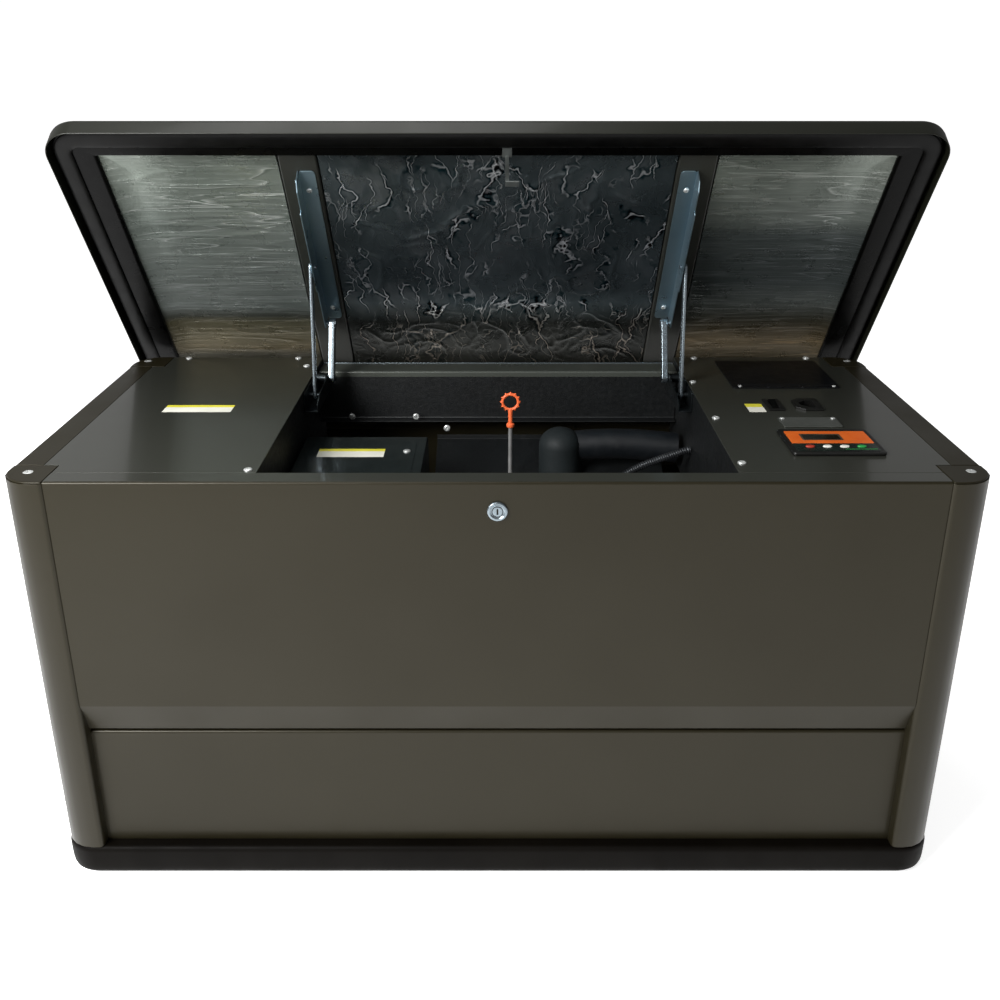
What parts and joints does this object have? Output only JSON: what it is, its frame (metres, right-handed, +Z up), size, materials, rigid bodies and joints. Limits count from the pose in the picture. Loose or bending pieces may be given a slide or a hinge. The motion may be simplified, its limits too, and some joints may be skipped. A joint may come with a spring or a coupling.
{
  "type": "home standby generator",
  "caption": "Engine-driven standby generator in a low sheet-metal cabinet on a black base tray, with a lid that swings up on twin stays over a service bay and controls.",
  "frame": {"origin": "middle of the base tray's underside, where it rests on its pad", "axes": "+X to the right as seen from the front (lock side), +Y to the rear, +Z up"},
  "size_m": [1.204, 0.6201, 0.9791],
  "materials": {
    "cabinet_paint": "satin dark taupe",
    "black_paint": "satin black",
    "tray_plastic": "matte",
    "black_plastic": "matte",
    "black_rubber": "matte",
    "zinc": "bright zinc plate",
    "foil_insulation": "crinkled aluminium foil face",
    "cast_alloy": "as cast",
    "steel": "satin",
    "orange_plastic": "gloss"
  },
  "bodies": {
    "cabinet": {"post_front_left": "cabinet_paint", "post_front_right": "cabinet_paint", "post_rear_left": "cabinet_paint", "post_rear_right": "cabinet_paint", "front_upper_panel": "cabinet_paint", "front_lower_panel": "cabinet_paint", "side_panel_left": "cabinet_paint", "side_panel_right": "cabinet_paint", "rear_panel": "cabinet_paint", "bay_rear_rail": "cabinet_paint", "top_cover_left": "cabinet_paint", "top_cover_right": "cabinet_paint", "bay_wall_left": "black_paint", "bay_wall_right": "black_paint", "terminal_hatch": "black_paint", "fan_shroud": "black_paint", "base_tray": "tray_plastic", "controller_housing": "black_plastic", "inlet_socket": "black_plastic", "breaker_frame": "black_plastic", "air_cleaner_box": "black_plastic", "battery": "black_plastic", "intake_hose": "black_rubber", "rubber_mount_1": "black_rubber", "rubber_mount_2": "black_rubber", "rubber_mount_3": "black_rubber", "rubber_mount_4": "black_rubber", "hinge_bracket_left": "zinc", "hinge_bracket_right": "zinc", "lock_housing": "zinc", "blank_plate": "cast_alloy", "engine_block": "cast_alloy", "cylinder_head_front": "cast_alloy", "cylinder_head_rear": "cast_alloy", "alternator_stator": "cast_alloy", "gas_regulator": "cast_alloy", "muffler": "steel", "conduit": "steel"},
    "lid_arms": {"lid_arm_left": "zinc", "lid_arm_right": "zinc"},
    "lid": {"lid_shell": "cabinet_paint", "lid_inner_frame": "cabinet_paint", "lid_gasket": "black_rubber", "lid_pad_left": "foil_insulation", "lid_pad_centre": "foil_insulation", "lid_pad_right": "foil_insulation", "lid_channel_left": "zinc", "lid_channel_right": "zinc", "lock_striker": "zinc"},
    "lid_rods": {"lid_rod_left": "zinc", "lid_rod_right": "zinc"},
    "lock": {"lock_plug": "zinc"},
    "button_1": {"controller_button_1": "black_rubber"},
    "button_2": {"controller_button_2": "black_rubber"},
    "button_3": {"controller_button_3": "black_rubber"},
    "button_4": {"controller_button_4": "black_rubber"},
    "breaker_rocker": {"breaker_rocker": "black_rubber"},
    "dipstick": {"dipstick": "orange_plastic"},
    "crankshaft": {"crankshaft_rotor": "steel", "flywheel_fan": "cast_alloy"}
  },
  "joints": [
    {"name": "arm_swing", "type": "hinge", "parent": "cabinet", "child": "lid_arms", "pos_m": [0, 0.18493, 0.57756], "axis": [1, 0, 0], "range_deg": [0, 110.84]},
    {"name": "lid_swing", "type": "hinge", "parent": "lid_arms", "child": "lid", "pos_m": [0, 0.22131, 0.6578], "axis": [1, 0, 0], "range_deg": [-55.85, 0]},
    {"name": "rod_swing", "type": "hinge", "parent": "cabinet", "child": "lid_rods", "pos_m": [0, 0.118, 0.571], "axis": [1, 0, 0], "range_deg": [0, 95.33]},
    {"name": "lock_turn", "type": "hinge", "parent": "cabinet", "child": "lock", "pos_m": [0, -0.25, 0.551], "axis": [0, 1, 0], "range_deg": [0, 90]},
    {"name": "button_1_press", "type": "slide", "parent": "cabinet", "child": "button_1", "axis": [0, 0, -1], "range_m": [0, 0.0015], "stiffness_N_per_m": 400, "springref_m": -0.0005},
    {"name": "button_2_press", "type": "slide", "parent": "cabinet", "child": "button_2", "axis": [0, 0, -1], "range_m": [0, 0.0015], "stiffness_N_per_m": 400, "springref_m": -0.0005},
    {"name": "button_3_press", "type": "slide", "parent": "cabinet", "child": "button_3", "axis": [0, 0, -1], "range_m": [0, 0.0015], "stiffness_N_per_m": 400, "springref_m": -0.0005},
    {"name": "button_4_press", "type": "slide", "parent": "cabinet", "child": "button_4", "axis": [0, 0, -1], "range_m": [0, 0.0015], "stiffness_N_per_m": 400, "springref_m": -0.0005},
    {"name": "breaker_tilt", "type": "hinge", "parent": "cabinet", "child": "breaker_rocker", "pos_m": [0.3965, 0.016, 0.5823], "axis": [1, 0, 0], "range_deg": [-20, 0]},
    {"name": "dipstick_pull", "type": "slide", "parent": "cabinet", "child": "dipstick", "axis": [0, 0, -1], "range_m": [-0.22, 0]},
    {"name": "crank_spin", "type": "hinge", "parent": "cabinet", "child": "crankshaft", "pos_m": [0, 0.02, 0.19], "axis": [1, 0, 0], "continuous": true}
  ],
  "couplings": [
    {"joint": "lid_swing", "follows": "arm_swing", "ratio": -0.50381},
    {"joint": "rod_swing", "follows": "arm_swing", "ratio": 0.86}
  ]
}
